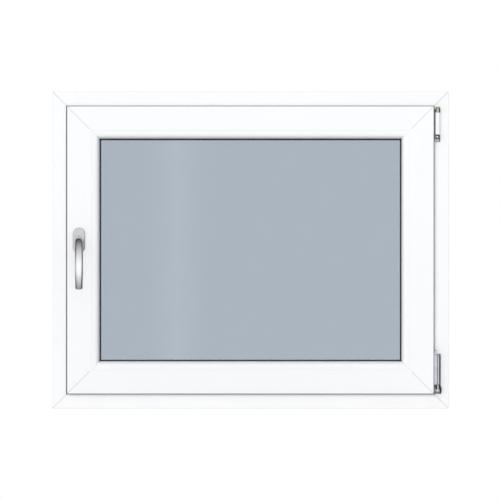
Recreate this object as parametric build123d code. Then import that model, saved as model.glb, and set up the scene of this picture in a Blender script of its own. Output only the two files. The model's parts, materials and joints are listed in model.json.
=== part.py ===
from math import cos, pi, radians, sin, sqrt
from build123d import *
import os

# A white PVC tilt-and-turn window seen from the room: a welded outer frame, a welded sash that
# overlaps it, a double glazed unit held by snap-in beads, a turning handle and two hinges.
#
# Row frame: +X to the right as seen from the room, +Y outdoors, +Z up. The origin is on the
# bottom face of the frame, half way along it and half way through its depth.
#
# Every bar is drawn as a section in two values: depth, along +Y, and rise, the distance from
# the frame's outer edge towards the glass.

# Overall size of the frame
window_width = 1000.0
window_height = 800.0

# Frame profile
frame_depth = 70.0
frame_height = 45.0
lip_height = 20.0
lip_thickness = 10.0
lip_bevel_height = 11.0
lip_bevel_depth = 4.0
gutter_drop = 2.5
gutter_width = 16.0
foot_width = 8.0
middle_foot_width = 14.0
clip_groove_depth = 5.0
clip_undercut = 2.0
clip_lip = 2.0

# Sash profile
flap_overlap = 8.0
flap_thickness = 10.0
air_gap = 12.0
seal_gap = 3.5
sash_box_height = 42.0
glazing_height = 20.0
glazing_lip = 10.0
glazing_bevel_height = 10.0
glazing_bevel_depth = 3.5
hardware_axis = 13.0
hardware_step_width = 16.0
hardware_step_depth = 3.0
hardware_slot_width = 12.0
hardware_slot_depth = 8.0

# Walls of both hollow profiles
outer_wall = 3.0
inner_web = 1.5
face_radius = 2.5
edge_radius = 1.0

# Steel stiffeners inside the profiles
steel_wall = 1.5
steel_clearance = 0.4
steel_end_gap = 6.0

# Slots that hold the gaskets
seal_slot_width = 3.0
seal_slot_depth = 2.5
seal_stem_clearance = 0.1
seal_show = 1.3
seal_show_lock = 2.3

# Glazing
pane_thickness = 4.0
cavity = 16.0
glass_edge_gap = 5.0
glazing_gasket = 4.0
gasket_sight_room = 4.0
gasket_sight_out = 3.0
edge_seal_height = 4.0
spacer_height = 6.5
spacer_wall = 0.8
block_length = 100.0
block_from_corner = 70.0
block_side_clearance = 2.0

# Glazing bead
bead_recess = 0.5
bead_flat = 7.0
bead_quirk = 0.7
bead_fullness = 0.7
bead_wall = 2.0
bead_foot_width = 3.0
bead_foot_height = 5.5
bead_hook = 2.0
bead_hook_height = 2.2
bead_foot_setback = 8.0
bead_clearance = 0.25
bead_joint = 0.15

# Weld seams at the corners
weld_half_width = 1.4
weld_depth = 0.5

# Handle
handle_from_sash_edge = 29.8
handle_above_middle = 24.2
rosette_width = 31.6
rosette_length = 65.0
rosette_height = 11.0
rosette_rim = 2.5
rosette_wall = 1.4
rosette_play = 0.2
neck_radius = 10.8
neck_play = 0.2
lug_radius = 5.0
lug_spacing = 43.0
lug_length = 8.0
lug_play = 0.1
handle_screw_radius = 2.7
handle_screw_head_radius = 5.2
handle_screw_sink = 3.0
spindle_width = 7.0
spindle_reach = 28.0
spindle_hole_radius = 6.0
lever_projection = 49.0
lever_bend = 17.0
lever_turn = radians(62)
lever_tip_lean = radians(18)
lever_length = 124.9
grip_width = 20.6
grip_thickness = 13.5
grip_tip_width = 18.4
grip_tip_thickness = 11.0
grip_tip_chamfer = 3.5
bend_steps = 4
grip_steps = 4

# Hinges, measured from the sash's edge and from its top and bottom corners
hinge_offset = 10.3
hinge_standoff = 8.0
hinge_plate = 2.2
hinge_plate_margin = 1.6
hinge_leaf = 2.9
hinge_leaf_plate = 3.0
hinge_pin_radius = 2.6
hinge_pin_play = 0.05
top_hinge_inset = 1.5
top_pin_head_height = 3.6
top_pin_head_radius = 5.5
top_knuckle_height = 10.4
top_knuckle_radius = 6.3
top_web_setback = 2.5
top_cover_height = 56.0
top_cover_radius = 6.1
top_cover_wall = 1.3
top_cover_play = 0.1
top_waist_height = 11.5
top_waist_radius = 3.9
top_foot_height = 7.0
top_foot_radius = 5.9
stay_arm_length = 320.0
stay_arm_width = 16.0
pivot_height = 23.0
pivot_bowl_height = 21.0
pivot_bowl_radius = 9.9
pivot_bowl_foot_radius = 8.2
pivot_bowl_mouth_radius = 7.2
pivot_bowl_bevel = 6.0
pivot_window_low = 10.8
pivot_window_height = 8.4
pivot_window_width = 13.0
pivot_arch_radius = 4.6
pivot_floor = 7.0
band_barrel_height = 78.0
band_barrel_radius = 7.4
band_barrel_round = 2.2
band_leaf_extra = 12.5
band_web_width = 8.2
band_web_setback = 0.8
band_web_round = 1.8
band_tab_width = 5.4
band_tab_round = 2.0
band_seam_width = 2.2
band_seam_depth = 1.6
band_seam_offset = 1.0
band_hole_radius = 1.7
band_hole_drop = 3.8
part_gap = 0.3

# Drainage
drain_from_corner = 160.0
drain_slot_length = 28.0
drain_slot_height = 5.0
drain_height = 16.0
drain_cap_length = 42.0
drain_cap_height = 11.0
drain_cap_depth = 4.5
drain_cap_wall = 1.2

# Planes across the depth of the window, from the room outwards
frame_room = -frame_depth / 2
frame_out = frame_depth / 2
lip_room = frame_out - lip_thickness
flap_back = frame_room - seal_gap
sash_room = flap_back - flap_thickness
sash_out = lip_room - seal_gap
pane_out = sash_out - glazing_lip - glazing_gasket
cavity_out = pane_out - pane_thickness
cavity_room = cavity_out - cavity
pane_room = cavity_room - pane_thickness
bead_back = pane_room - glazing_gasket
bead_room = sash_room + bead_recess
hardware_middle = flap_back + hardware_axis
gutter_room = lip_room - gutter_width
outer_chamber_middle = (gutter_room + frame_out - outer_wall) / 2

# Lines along the rise, from the frame's outer edge towards the glass
flap_rise = frame_height - flap_overlap
lip_rise = frame_height + lip_height
sash_rise = frame_height + air_gap
hardware_rise = sash_rise + hardware_step_depth + hardware_slot_depth
glazing_rise = sash_rise + sash_box_height
sight_rise = glazing_rise + glazing_height
glass_rise = glazing_rise + glass_edge_gap
spacer_rise = glass_rise + edge_seal_height
bead_groove_rise = glazing_rise - bead_foot_height - bead_clearance
bead_foot_room = sash_room + bead_foot_setback

# The slots for the gaskets lie in the middle of what each gasket seals
frame_seal_rise = (sash_rise + lip_rise) / 2
sash_seal_rise = (flap_rise + frame_height) / 2
glass_seal_rise = sight_rise - glazing_lip / 2 - seal_slot_width / 2

# Points on the window that the fittings start from
sash_edge_x = window_width / 2 - flap_rise
sash_side_x = window_width / 2 - sash_rise
sash_top = window_height - flap_rise
sash_bottom = flap_rise
handle_x = -sash_edge_x + handle_from_sash_edge
handle_z = window_height / 2 + handle_above_middle
lug_heights = (-lug_spacing / 2, lug_spacing / 2)

# The lever's path: straight neck, bend, and a long arc that passes furthest from the sash
lever_drop = lever_length - grip_tip_chamfer - lever_bend * (1 - cos(lever_turn))
grip_radius = lever_drop / (cos(lever_turn) + sin(lever_tip_lean))
lever_reach = lever_bend * sin(lever_turn) + grip_radius * (1 - sin(lever_turn))
lever_neck_length = lever_projection - lever_reach

hinge_x = sash_edge_x + hinge_offset
hinge_y = frame_room - hinge_standoff
leaf_room = flap_back + part_gap
leaf_out = leaf_room + hinge_leaf
hinge_bore_radius = hinge_pin_radius + hinge_pin_play
drain_places = [-window_width / 2 + drain_from_corner, window_width / 2 - drain_from_corner]

# Heights of the two hinges
top_pin_top = sash_top - top_hinge_inset
top_knuckle_top = top_pin_top - top_pin_head_height
top_knuckle_low = top_knuckle_top - top_knuckle_height
top_cover_low = top_knuckle_low - top_cover_height
top_waist_low = top_cover_low - top_waist_height
top_foot_low = top_waist_low - top_foot_height
pivot_top = sash_bottom + pivot_height
band_top = pivot_top + band_barrel_height

# Where each side of the window goes, from a bar drawn along the bottom
placings = {
    "bottom": (window_width, Pos(0, 0, 0)),
    "top": (window_width, Pos(0, 0, window_height) * Rot(0, 180, 0)),
    "lock": (window_height, Pos(-window_width / 2, 0, window_height / 2) * Rot(0, 90, 0)),
    "hinge": (window_height, Pos(window_width / 2, 0, window_height / 2) * Rot(0, -90, 0)),
}


def outline(corners):
    """A face from corners given as (depth, rise) or (depth, rise, radius)."""
    points = [corner[:2] for corner in corners]
    radii = [corner[2] if len(corner) == 3 else 0 for corner in corners]
    return make_face(FilletPolyline(*points, radius=radii, close=True))


def rectangle(depth_low, depth_high, rise_low, rise_high):
    """A rectangular face between two depths and two rises."""
    middle = Pos((depth_low + depth_high) / 2, (rise_low + rise_high) / 2)
    return middle * Rectangle(depth_high - depth_low, rise_high - rise_low)


def block(x_low, x_high, y_low, y_high, z_low, z_high):
    """A box between two values of each of X, Y and Z."""
    middle = Pos((x_low + x_high) / 2, (y_low + y_high) / 2, (z_low + z_high) / 2)
    return middle * Box(x_high - x_low, y_high - y_low, z_high - z_low)


def weld_cutter(face_depth, inwards, reach):
    """A V-shaped bar along a corner's diagonal, its point sunk below the face at face_depth."""
    tip = face_depth + inwards * weld_depth
    base = face_depth - inwards * weld_depth
    across = Plane(origin=(0, 0, 0), x_dir=(1, 0, 1), z_dir=(-1, 0, 1))
    half = 2 * weld_half_width
    vee = make_face(Polyline((-half, -base), (half, -base), (0, -tip), close=True))
    return extrude(across * vee, amount=reach)


def mitred_bar(section, length, joint=0.0, welded_faces=()):
    """A bar along X whose ends are cut at 45 degrees from the frame's outer corners."""
    bar = extrude(Plane.YZ * section, amount=length / 2, both=True)
    for end in (-1, 1):
        corner = Plane(origin=(end * (length / 2 - joint), 0, 0), z_dir=(end, 0, 1))
        bar = split(bar, bisect_by=corner, keep=Keep.BOTTOM)
    for face_depth, inwards in welded_faces:
        cutter = weld_cutter(face_depth, inwards, 2 * sight_rise)
        bar -= Pos(length / 2, 0, 0) * cutter
        bar -= Pos(-length / 2, 0, 0) * mirror(cutter, about=Plane.YZ)
    return bar


def four_bars(section, joint=0.0, welded_faces=()):
    """The same section along all four sides of the window, as separate mitred bars."""
    return {
        side: placing * mitred_bar(section, length, joint, welded_faces)
        for side, (length, placing) in placings.items()
    }


def ring(section, lock_section=None):
    """The same section along all four sides, joined at the corners as one piece. The lock side may
    have a section of its own."""
    bars = four_bars(section)
    if lock_section is not None:
        bars["lock"] = four_bars(lock_section)["lock"]
    return bars["bottom"] + bars["top"] + bars["lock"] + bars["hinge"]


def clip_groove(depth_low, depth_high):
    """The corners of an undercut groove in the frame's outer edge, for wall anchors and sills."""
    return [
        (depth_low, 0),
        (depth_low, clip_lip),
        (depth_low - clip_undercut, clip_lip),
        (depth_low - clip_undercut, clip_groove_depth),
        (depth_high + clip_undercut, clip_groove_depth),
        (depth_high + clip_undercut, clip_lip),
        (depth_high, clip_lip),
        (depth_high, 0),
    ]


def seal_slot(face_depth, inwards, middle_rise, upwards):
    """The corners of a gasket slot, sunk inwards from a face and passed in rising or falling order."""
    near = middle_rise - upwards * seal_slot_width / 2
    far = middle_rise + upwards * seal_slot_width / 2
    floor = face_depth + inwards * seal_slot_depth
    return [(face_depth, near), (floor, near), (floor, far), (face_depth, far)]


def frame_section():
    """The outer frame's L-shaped section with its chambers."""
    mouth = (frame_depth - 2 * foot_width - middle_foot_width) / 2
    gutter_rise = frame_height - gutter_drop
    outside = outline(
        [(frame_room, 0, edge_radius)]
        + clip_groove(frame_room + foot_width, frame_room + foot_width + mouth)
        + clip_groove(frame_out - foot_width - mouth, frame_out - foot_width)
        + [
            (frame_out, 0, edge_radius),
            (frame_out, lip_rise - lip_bevel_height, face_radius),
            (frame_out - lip_bevel_depth, lip_rise, edge_radius),
            (lip_room, lip_rise, edge_radius),
        ]
        + seal_slot(lip_room, 1, frame_seal_rise, -1)
        + [
            (lip_room, gutter_rise, edge_radius),
            (gutter_room, gutter_rise),
            (gutter_room, frame_height, edge_radius / 2),
            (frame_room, frame_height, edge_radius),
        ]
    )
    steel = steel_chamber_frame()
    low = steel[2]
    high = steel[3]
    room_high = steel[0] - inner_web
    room_middle = (frame_room + outer_wall + room_high) / 2
    out_low = gutter_room + inner_web
    out_high = frame_out - outer_wall
    foot_half = middle_foot_width / 2 - clip_undercut - inner_web
    half_web = inner_web / 2
    chambers = [
        rectangle(frame_room + outer_wall, room_middle - half_web, low, high),
        rectangle(room_middle + half_web, room_high, low, high),
        rectangle(*steel),
        rectangle(out_low, outer_chamber_middle - half_web, low, high - gutter_drop),
        rectangle(outer_chamber_middle + half_web, out_high, low, high - gutter_drop),
        rectangle(lip_room + seal_slot_depth, out_high, gutter_rise, lip_rise - lip_bevel_height),
        rectangle(-foot_half, foot_half, outer_wall, low - inner_web),
    ]
    return outside - chambers


def steel_chamber_frame():
    """The frame's reinforcement chamber, as depths and rises."""
    width = frame_depth / 3
    room_side = gutter_room - width
    return room_side, room_side + width, clip_groove_depth + outer_wall, frame_height - outer_wall


def steel_chamber_sash():
    """The sash's reinforcement chamber, between the hardware groove and the glazing rebate."""
    room_side = hardware_middle - hardware_step_width / 2
    out_side = room_side + 2 * hardware_step_width
    return room_side, out_side, hardware_rise + outer_wall, glazing_rise - outer_wall


def sash_section():
    """The sash's Z-shaped section: flap, hardware groove, bead groove, glazing lip and chambers."""
    step = hardware_step_width / 2
    slot = hardware_slot_width / 2
    step_floor = sash_rise + hardware_step_depth
    lip_face = sash_out - glazing_lip
    groove_out = bead_foot_room + bead_hook + bead_foot_width + 2 * bead_clearance
    groove_mouth = bead_foot_room + bead_hook
    hook_top = bead_groove_rise + bead_hook_height + 2 * bead_clearance
    outside = outline(
        [
            (sash_room, flap_rise, face_radius),
            (flap_back, flap_rise, edge_radius / 2),
        ]
        + seal_slot(flap_back, -1, sash_seal_rise, 1)
        + [
            (flap_back, sash_rise),
            (hardware_middle - step, sash_rise),
            (hardware_middle - step, step_floor),
            (hardware_middle - slot, step_floor),
            (hardware_middle - slot, hardware_rise),
            (hardware_middle + slot, hardware_rise),
            (hardware_middle + slot, step_floor),
            (hardware_middle + step, step_floor),
            (hardware_middle + step, sash_rise),
            (sash_out, sash_rise, edge_radius),
            (sash_out, sight_rise - glazing_bevel_height, face_radius),
            (sash_out - glazing_bevel_depth, sight_rise, edge_radius),
            (lip_face, sight_rise, edge_radius),
        ]
        + seal_slot(lip_face, 1, glass_seal_rise, -1)
        + [
            (lip_face, glazing_rise),
            (groove_out, glazing_rise),
            (groove_out, bead_groove_rise),
            (bead_foot_room, bead_groove_rise),
            (bead_foot_room, hook_top),
            (groove_mouth, hook_top),
            (groove_mouth, glazing_rise),
            (sash_room, glazing_rise, edge_radius),
        ]
    )
    steel = steel_chamber_sash()
    room = sash_room + outer_wall
    slot_floor = flap_back - seal_slot_depth
    beside_slot = hardware_middle - step - inner_web
    rise_mid = steel[2] - inner_web
    out = sash_out - outer_wall
    outer_mid = (steel[1] + out) / 2
    low = sash_rise + outer_wall
    high = glazing_rise - outer_wall
    chambers = [
        outline(
            [
                (room, sash_seal_rise + seal_slot_width),
                (slot_floor, sash_seal_rise + seal_slot_width),
                (slot_floor, low),
                (beside_slot, low),
                (beside_slot, rise_mid),
                (room, rise_mid),
            ]
        ),
        rectangle(room, steel[0] - inner_web, steel[2], bead_groove_rise - inner_web),
        rectangle(*steel),
        rectangle(hardware_middle + step + inner_web, steel[1], low, steel[2] - inner_web),
        rectangle(steel[1] + inner_web, outer_mid - inner_web / 2, low, high),
        rectangle(outer_mid + inner_web / 2, out, low, high),
        rectangle(lip_face + seal_slot_depth, out, high + inner_web, glass_seal_rise + seal_slot_width),
    ]
    return outside - chambers


def bead_section():
    """The glazing bead: a clip foot, a flat, a small quirk and a rounded front down to the glass."""
    foot_room = bead_foot_room + bead_hook + bead_clearance
    foot_out = foot_room + bead_foot_width
    foot_low = bead_groove_rise + bead_clearance
    flat_top = glazing_rise + bead_flat
    round_room = bead_room + bead_quirk
    round_out = bead_back - glazing_gasket
    round_depth = round_out - round_room
    round_rise = sight_rise - flat_top
    front = Polyline(
        (bead_back, glazing_rise),
        (foot_out, glazing_rise),
        (foot_out, foot_low),
        (foot_room - bead_hook, foot_low),
        (foot_room - bead_hook, foot_low + bead_hook_height),
        (foot_room, foot_low + bead_hook_height),
        (foot_room, glazing_rise),
        (bead_room, glazing_rise),
        (bead_room, flat_top),
        (round_room, flat_top),
    )
    rounding = Bezier(
        (round_room, flat_top),
        (round_room, flat_top + round_rise * bead_fullness),
        (round_out - round_depth * bead_fullness, sight_rise),
        (round_out, sight_rise),
    )
    back = Polyline((round_out, sight_rise), (bead_back, sight_rise), (bead_back, glazing_rise))
    outside = make_face(front + rounding + back)
    hollow = make_face(
        Polyline(
            (bead_room + bead_wall, glazing_rise + bead_wall),
            (bead_back - bead_wall, glazing_rise + bead_wall),
            (bead_back - bead_wall, sight_rise - bead_wall),
            (round_out, sight_rise - bead_wall),
            (round_room + 2 * bead_wall, flat_top + 2 * bead_wall),
            (bead_room + bead_wall, flat_top),
            close=True,
        )
    )
    return outside - hollow


def frame_gasket_section():
    """The soft lip that the frame presses against the sash from outdoors."""
    stem = seal_slot_width / 2 - seal_stem_clearance
    stem_end = lip_room + seal_slot_depth - seal_stem_clearance
    half = (lip_rise - sash_rise) / 2 - edge_radius
    return outline(
        [
            (sash_out, frame_seal_rise - half, edge_radius),
            (lip_room, frame_seal_rise - half + edge_radius),
            (lip_room, frame_seal_rise - stem),
            (stem_end, frame_seal_rise - stem),
            (stem_end, frame_seal_rise + stem),
            (lip_room, frame_seal_rise + stem),
            (lip_room, frame_seal_rise + half - edge_radius),
            (sash_out, frame_seal_rise + half, edge_radius),
        ]
    )


def sash_gasket_section(show):
    """The soft lip under the sash's flap, which shows as a thin dark line round the sash."""
    stem = seal_slot_width / 2 - seal_stem_clearance
    stem_end = flap_back - seal_slot_depth + seal_stem_clearance
    inner = frame_height - edge_radius
    return outline(
        [
            (frame_room, flap_rise - show / 2, edge_radius / 2),
            (flap_back + seal_gap / 2, flap_rise - show),
            (flap_back, flap_rise + edge_radius / 2),
            (flap_back, sash_seal_rise - stem),
            (stem_end, sash_seal_rise - stem),
            (stem_end, sash_seal_rise + stem),
            (flap_back, sash_seal_rise + stem),
            (flap_back, inner),
            (frame_room, inner - edge_radius),
        ]
    )


def room_glazing_gasket_section():
    """The dark gasket between the bead and the glass, standing a little into the view."""
    return outline(
        [
            (bead_back, glass_seal_rise - seal_slot_width),
            (pane_room, glass_seal_rise - seal_slot_width),
            (pane_room, sight_rise + gasket_sight_room, edge_radius / 2),
            (bead_back + glazing_gasket / 2, sight_rise + gasket_sight_room, edge_radius),
            (bead_back, sight_rise),
        ]
    )


def outer_glazing_gasket_section():
    """The gasket between the sash's glazing lip and the outer pane."""
    face = sash_out - glazing_lip
    stem = seal_slot_width / 2 - seal_stem_clearance
    stem_end = face + seal_slot_depth - seal_stem_clearance
    return outline(
        [
            (pane_out, spacer_rise),
            (face, spacer_rise),
            (face, glass_seal_rise - stem),
            (stem_end, glass_seal_rise - stem),
            (stem_end, glass_seal_rise + stem),
            (face, glass_seal_rise + stem),
            (face, sight_rise - edge_radius),
            (face - glazing_gasket / 2, sight_rise + gasket_sight_out, edge_radius),
            (pane_out, sight_rise + gasket_sight_out, edge_radius / 2),
        ]
    )


def spacer_section():
    """The hollow metal bar that keeps the two panes apart."""
    top = spacer_rise + spacer_height
    outside = rectangle(cavity_room, cavity_out, spacer_rise, top)
    inside = rectangle(
        cavity_room + spacer_wall, cavity_out - spacer_wall, spacer_rise + spacer_wall, top - spacer_wall
    )
    return outside - inside


def stiffener(chamber, open_side):
    """A galvanised steel section that slides into a chamber, as a tube or a channel."""
    depth_low, depth_high, rise_low, rise_high = chamber
    outer = [
        depth_low + steel_clearance,
        depth_high - steel_clearance,
        rise_low + steel_clearance,
        rise_high - steel_clearance,
    ]
    inner_high = outer[3] if open_side else outer[3] - steel_wall
    inside = rectangle(outer[0] + steel_wall, outer[1] - steel_wall, outer[2] + steel_wall, inner_high)
    return rectangle(*outer) - inside


def stiffener_bars(chamber, open_side):
    """Square-cut stiffeners for the four sides, each ending short of the welded corners."""
    section = stiffener(chamber, open_side)
    return [
        placing * extrude(Plane.YZ * section, amount=length / 2 - chamber[3] - steel_end_gap, both=True)
        for length, placing in placings.values()
    ]


def pane(depth_low, depth_high):
    """One pane of glass."""
    half = window_width / 2 - glass_rise
    return block(-half, half, depth_low, depth_high, glass_rise, window_height - glass_rise)


def setting_blocks():
    """Plastic blocks between the glass edge and the sash, two along each side."""
    low = bead_back + block_side_clearance
    high = sash_out - glazing_lip - block_side_clearance
    blocks = []
    for length, placing in placings.values():
        start = length / 2 - glass_rise - block_from_corner - block_length
        for x in (-start - block_length, start):
            blocks.append(placing * block(x, x + block_length, low, high, glazing_rise, glass_rise))
    return blocks


def handle_holes():
    """What is drilled in the sash for the spindle and the two lugs of the handle's base."""
    facing = Plane(origin=(handle_x, sash_room, handle_z), x_dir=(1, 0, 0), z_dir=(0, 1, 0))
    spindle = extrude(facing * Circle(spindle_hole_radius), amount=spindle_reach + part_gap)
    lugs = [
        extrude(facing * Pos(0, z) * Circle(lug_radius + lug_play), amount=lug_length + part_gap)
        for z in lug_heights
    ]
    return [spindle] + lugs


def rosette_outline(width, length):
    """The rosette's outline, an upright slot shape."""
    return SlotOverall(length, width, rotation=90)


def room_plane(depth):
    """A plane across the handle's axis that faces the room."""
    return Plane(origin=(handle_x, depth, handle_z), x_dir=(1, 0, 0), z_dir=(0, -1, 0))


def handle_screw_holes():
    """Countersunk holes from the cap's face through the base and its lugs."""
    holes = []
    for z in lug_heights:
        face = room_plane(sash_room - rosette_height) * Pos(0, z)
        shank = extrude(face * Circle(handle_screw_radius), amount=-rosette_height - lug_length)
        sink = loft(
            [
                face * Circle(handle_screw_head_radius),
                face * Pos(0, 0, -handle_screw_sink) * Circle(handle_screw_radius),
            ]
        )
        holes.append(shank + sink)
    return holes


def rosette_cover():
    """The metal cap over the handle's base, with a bevelled rim and two screw holes."""
    inner_rim = rosette_rim - rosette_wall * (2 - sqrt(2))
    outside = extrude(
        room_plane(sash_room) * rosette_outline(rosette_width, rosette_length), amount=rosette_height
    )
    outside = chamfer(outside.faces().sort_by(Axis.Y)[0].edges(), rosette_rim)
    inside = extrude(
        room_plane(sash_room)
        * rosette_outline(rosette_width - 2 * rosette_wall, rosette_length - 2 * rosette_wall),
        amount=rosette_height - rosette_wall,
    )
    inside = chamfer(inside.faces().sort_by(Axis.Y)[0].edges(), inner_rim)
    bore = extrude(room_plane(sash_room) * Circle(neck_radius + neck_play), amount=rosette_height)
    return outside - inside - bore - handle_screw_holes()


def handle_base():
    """The plastic base under the cap, with two lugs that key into the sash."""
    shrink = 2 * (rosette_wall + rosette_play)
    body = extrude(
        room_plane(sash_room) * rosette_outline(rosette_width - shrink, rosette_length - shrink),
        amount=rosette_height - rosette_wall - rosette_play,
    )
    body = chamfer(body.faces().sort_by(Axis.Y)[0].edges(), rosette_rim - rosette_wall / 2)
    lugs = [
        extrude(room_plane(sash_room) * Pos(0, z) * Circle(lug_radius), amount=-lug_length)
        for z in lug_heights
    ]
    bore = extrude(room_plane(sash_room) * Circle(neck_radius + neck_play), amount=rosette_height)
    return body + lugs - bore - handle_screw_holes()


def lever_oval(y, z, turned, across, through):
    """An oval across the lever's path, turned down from the neck's direction by an angle."""
    place = Plane(origin=(handle_x, y, z), x_dir=(1, 0, 0), z_dir=(0, -cos(turned), -sin(turned)))
    return place * Ellipse(across / 2, through / 2)


def bend_sections():
    """Ovals round the lever's bend, from the round neck to the flatter grip."""
    start = sash_room - lever_neck_length
    ovals = []
    for step in range(bend_steps + 1):
        share = step / bend_steps
        turned = lever_turn * share
        y = start - lever_bend * sin(turned)
        z = handle_z - lever_bend * (1 - cos(turned))
        across = 2 * neck_radius + (grip_width - 2 * neck_radius) * share
        through = 2 * neck_radius + (grip_thickness - 2 * neck_radius) * share
        ovals.append(lever_oval(y, z, turned, across, through))
    return ovals


def grip_sections():
    """Ovals down the grip's long arc, which ends leaning back towards the sash."""
    start = sash_room - lever_neck_length - lever_bend * sin(lever_turn)
    top = handle_z - lever_bend * (1 - cos(lever_turn))
    ovals = []
    for step in range(grip_steps + 1):
        share = step / grip_steps
        turned = lever_turn + (pi / 2 + lever_tip_lean - lever_turn) * share
        y = start - grip_radius * (sin(turned) - sin(lever_turn))
        z = top - grip_radius * (cos(lever_turn) - cos(turned))
        across = grip_width + (grip_tip_width - grip_width) * share**3
        through = grip_thickness + (grip_tip_thickness - grip_thickness) * share
        ovals.append(lever_oval(y, z, turned, across, through))
    return ovals


def lever():
    """The turning lever: a round neck that bends into an oval, bowed grip with a bevelled tip."""
    neck = extrude(
        room_plane(sash_room - part_gap) * Circle(neck_radius), amount=lever_neck_length - part_gap
    )
    grip = grip_sections()
    tip_end = Plane(grip[-1].faces()[0]).offset(grip_tip_chamfer)
    flat_width = grip_tip_width - 2 * grip_tip_chamfer
    flat_thickness = grip_tip_thickness - 2 * grip_tip_chamfer
    tip = loft([grip[-1], tip_end * Ellipse(flat_width / 2, flat_thickness / 2)])
    return neck + loft(bend_sections()) + loft(grip) + tip


def spindle():
    """The square spindle that carries the lever and turns the lock behind it."""
    return extrude(
        Plane(origin=(handle_x, sash_room - part_gap, handle_z), z_dir=(0, 1, 0))
        * Rectangle(spindle_width, spindle_width),
        amount=spindle_reach,
    )


def upright(radius, z_low, z_high):
    """A round bar on the hinge axis."""
    return Pos(hinge_x, hinge_y, z_low) * Cylinder(
        radius, z_high - z_low, align=(Align.CENTER, Align.CENTER, Align.MIN)
    )


def stay_bearing():
    """The frame's half of the top hinge: a plate on the frame, and a barrel with a waist below it."""
    barrel_radius = top_cover_radius - top_cover_wall - top_cover_play
    barrel = upright(barrel_radius, top_cover_low, top_knuckle_low - part_gap)
    waist_middle = (top_cover_low + top_waist_low) / 2
    low_rim = (top_foot_radius, top_waist_low)
    high_rim = (top_foot_radius, top_cover_low)
    half_waist = make_face(
        Line((0, top_waist_low), low_rim)
        + ThreePointArc(low_rim, (top_waist_radius, waist_middle), high_rim)
        + Polyline(high_rim, (0, top_cover_low), (0, top_waist_low))
    )
    waist = Pos(hinge_x, hinge_y, 0) * revolve(Plane.XZ * half_waist, Axis.Z)
    plate = block(
        sash_edge_x + hinge_plate_margin,
        hinge_x + top_foot_radius,
        frame_room - hinge_plate,
        frame_room,
        top_waist_low,
        top_knuckle_low - part_gap,
    )
    web = block(
        hinge_x - hinge_pin_radius,
        hinge_x + hinge_pin_radius,
        hinge_y,
        frame_room - hinge_plate / 2,
        top_waist_low,
        top_knuckle_low - part_gap,
    )
    bore = upright(hinge_bore_radius, top_waist_low, top_knuckle_low)
    return barrel + waist + plate + web - bore


def stay_cover():
    """The white cap that clips over the top hinge's barrel from the room."""
    shell = upright(top_cover_radius, top_cover_low, top_knuckle_low - part_gap)
    shell = chamfer(shell.edges().filter_by(GeomType.CIRCLE), top_cover_wall / 2)
    inside = upright(top_cover_radius - top_cover_wall, top_cover_low, top_knuckle_low)
    open_back = block(
        hinge_x - 2 * top_cover_radius,
        hinge_x + 2 * top_cover_radius,
        hinge_y + top_cover_radius / 2,
        frame_room,
        top_cover_low,
        top_knuckle_low,
    )
    return shell - inside - open_back


def stay_arm():
    """The sash's half of the top hinge: knuckle, leaf through the gap and arm along the top."""
    knuckle = upright(top_knuckle_radius, top_knuckle_low, top_knuckle_top)
    knuckle = chamfer(knuckle.edges().filter_by(GeomType.CIRCLE).sort_by(Axis.Z)[-1], edge_radius)
    leaf_top = window_height - frame_height - part_gap
    arm_low = window_height - sash_rise + hinge_leaf_plate
    web_room = hinge_y + top_web_setback
    web = block(sash_edge_x + part_gap, hinge_x, web_room, leaf_out, top_knuckle_low, leaf_top)
    leaf = block(sash_side_x, hinge_x, leaf_room, leaf_out, top_knuckle_low, leaf_top)
    arm = block(
        sash_side_x - stay_arm_length,
        sash_side_x + air_gap - 2 * part_gap,
        leaf_room,
        leaf_room + stay_arm_width + seal_gap,
        arm_low,
        leaf_top,
    )
    arm -= block(
        sash_side_x - 2 * stay_arm_length,
        sash_side_x + air_gap,
        leaf_room - part_gap,
        leaf_room + 2 * stay_arm_width,
        arm_low + hinge_leaf_plate,
        leaf_top + part_gap,
    )
    bore = upright(hinge_bore_radius, top_knuckle_low, top_knuckle_top)
    return knuckle + web + leaf + arm - bore


def stay_pin():
    """The pin of the top hinge, through bearing and knuckle: a foot with a tab, and a head."""
    foot = upright(top_foot_radius, top_foot_low, top_waist_low)
    foot = chamfer(foot.edges().filter_by(GeomType.CIRCLE).sort_by(Axis.Z)[0], edge_radius)
    tab_left = sash_edge_x + hinge_plate_margin
    tab_out = frame_room - part_gap
    tab = block(tab_left, hinge_x, hinge_y, tab_out, top_foot_low, top_waist_low)
    tab = chamfer(tab.edges().filter_by(Axis.Z).group_by(Axis.Y)[0].sort_by(Axis.X)[0], edge_radius)
    shank = upright(hinge_pin_radius, top_foot_low, top_pin_top)
    head = upright(top_pin_head_radius, top_knuckle_top, top_pin_top)
    head = chamfer(head.edges().filter_by(GeomType.CIRCLE).sort_by(Axis.Z)[-1], edge_radius)
    return foot + tab + shank + head


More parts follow.
